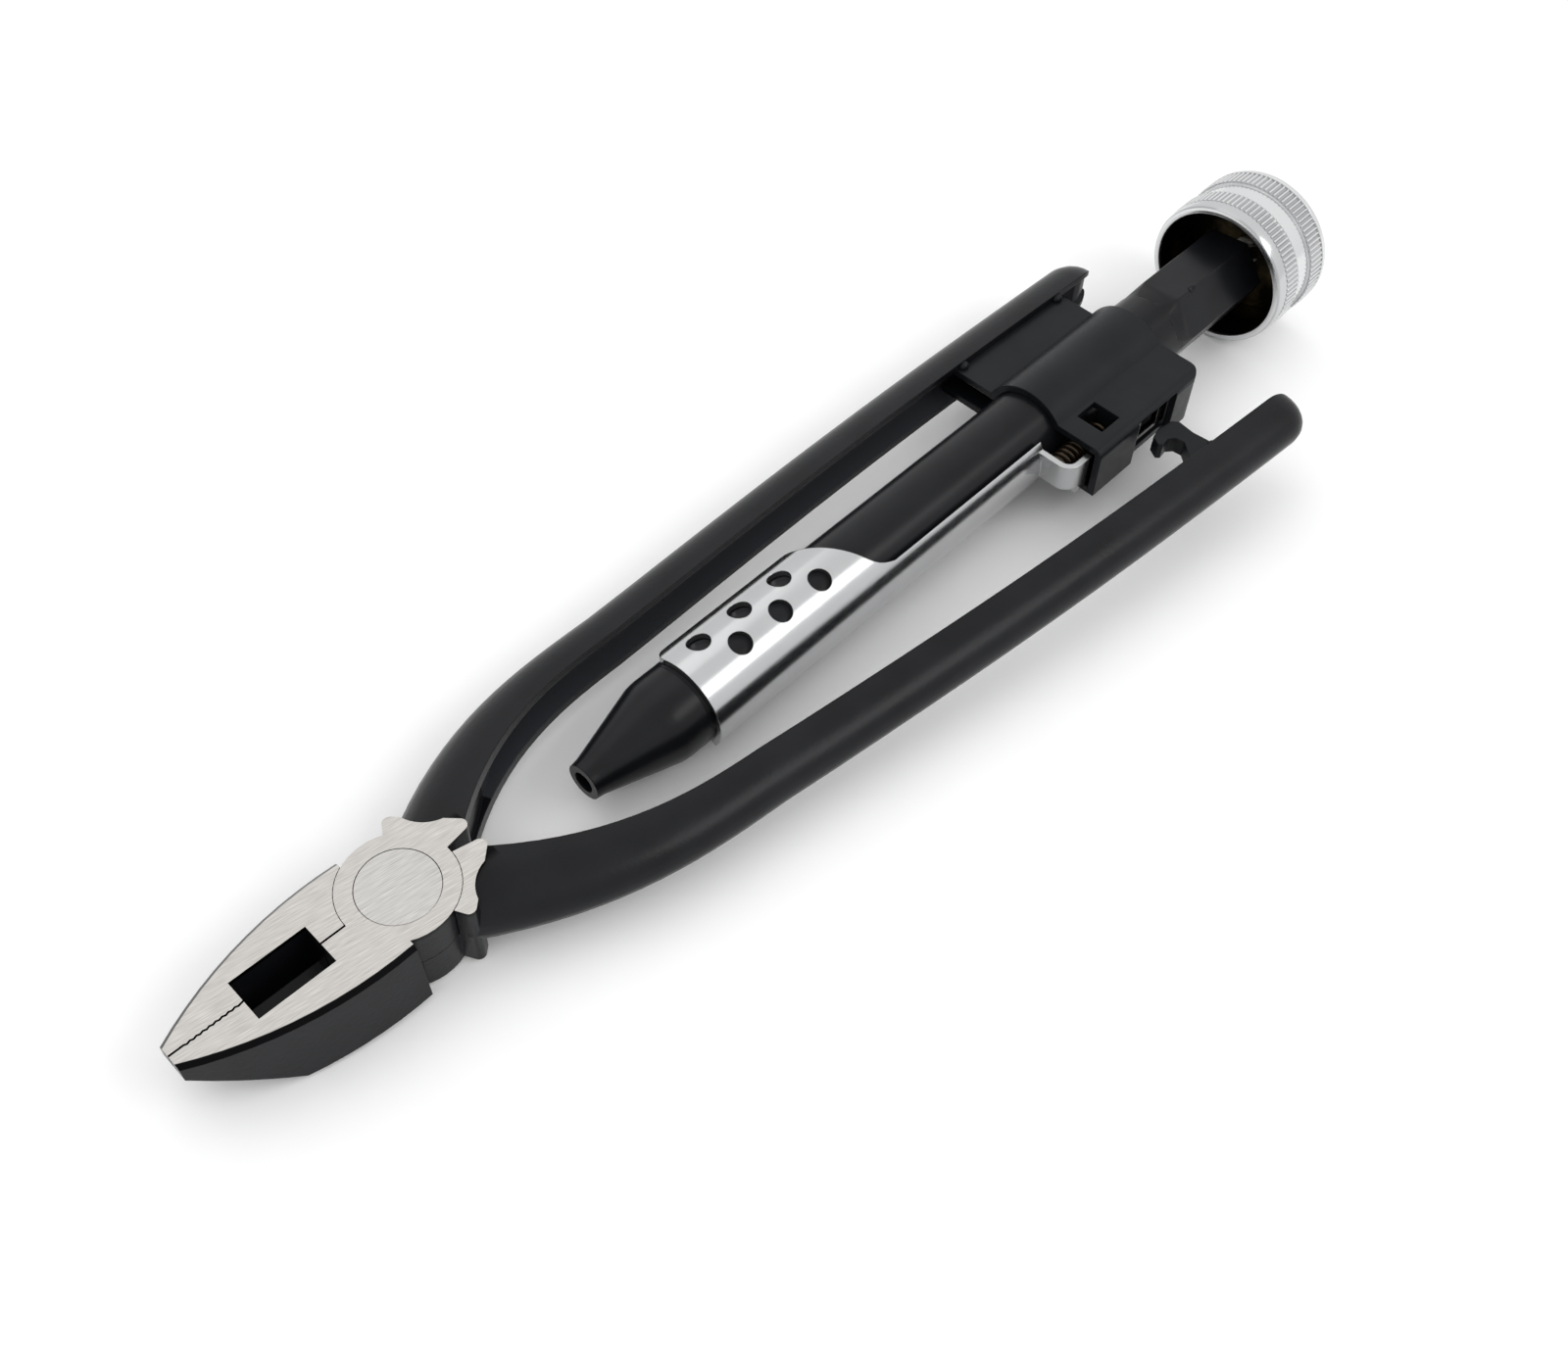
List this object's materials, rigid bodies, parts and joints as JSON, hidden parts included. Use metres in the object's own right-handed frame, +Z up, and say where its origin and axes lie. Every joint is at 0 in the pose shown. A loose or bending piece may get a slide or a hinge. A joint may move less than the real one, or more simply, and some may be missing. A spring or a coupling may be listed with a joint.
{
  "type": "safety wire pliers",
  "caption": "Wire twisting pliers with a ground cutter head, channelled handles, a sliding lock along the barrel and a pull knob on a spiral rod.",
  "frame": {"origin": "centre of the pivot rivet on the head's ground underside", "axes": "+X from the jaws' nose to the knob, along the barrel; +Y towards the handle that carries the barrel; +Z up, out of the face of the head that is seen in the picture"},
  "size_m": [0.2284, 0.054, 0.026],
  "materials": {
    "satin_black": "satin",
    "charcoal_sheet": "satin",
    "ground_steel": "brushed",
    "plain_steel": "satin",
    "chrome": "polished",
    "brass": "satin",
    "spring_wire": "satin"
  },
  "bodies": {
    "frame": {"handle_jaw_fixed": "satin_black", "pivot_rivet": "ground_steel", "bracket_top_shell": "charcoal_sheet", "bracket_bottom_shell": "charcoal_sheet", "bracket_weld_beads": "charcoal_sheet", "barrel_tube": "satin_black", "barrel_nose": "satin_black", "twist_nut": "brass", "nut_front_ring": "plain_steel", "barrel_end_bush": "plain_steel", "lock_spring": "spring_wire"},
    "moving_handle": {"handle_jaw_moving": "satin_black", "hook_plate": "charcoal_sheet", "hook_weld_beads": "charcoal_sheet"},
    "rod_carrier": {"rod_guide_collar": "brass"},
    "twist_rod": {"spiral_rod": "plain_steel", "collar_clip": "plain_steel", "knob": "chrome", "knob_washer": "plain_steel", "knob_screw": "plain_steel"},
    "lock_bar": {"lock_slider": "chrome"}
  },
  "joints": [
    {"name": "jaw_hinge", "type": "hinge", "parent": "frame", "child": "moving_handle", "pos_m": [0, 0, 0], "axis": [0, 0, -1], "range_deg": [0, 30]},
    {"name": "rod_pull", "type": "slide", "parent": "frame", "child": "rod_carrier", "axis": [1, 0, 0], "range_m": [0, 0.085]},
    {"name": "rod_twist", "type": "hinge", "parent": "rod_carrier", "child": "twist_rod", "pos_m": [0.1, -0.0013, 0.005], "axis": [1, 0, 0], "range_deg": [0, 640]},
    {"name": "lock_slide", "type": "slide", "parent": "frame", "child": "lock_bar", "axis": [-1, 0, 0], "range_m": [0, 0.0055], "stiffness_N_per_m": 300, "springref_m": -0.004, "deforming": ["lock_spring"]}
  ],
  "couplings": [
    {"joint": "rod_twist", "follows": "rod_pull", "rad_per_m": 130.9}
  ]
}
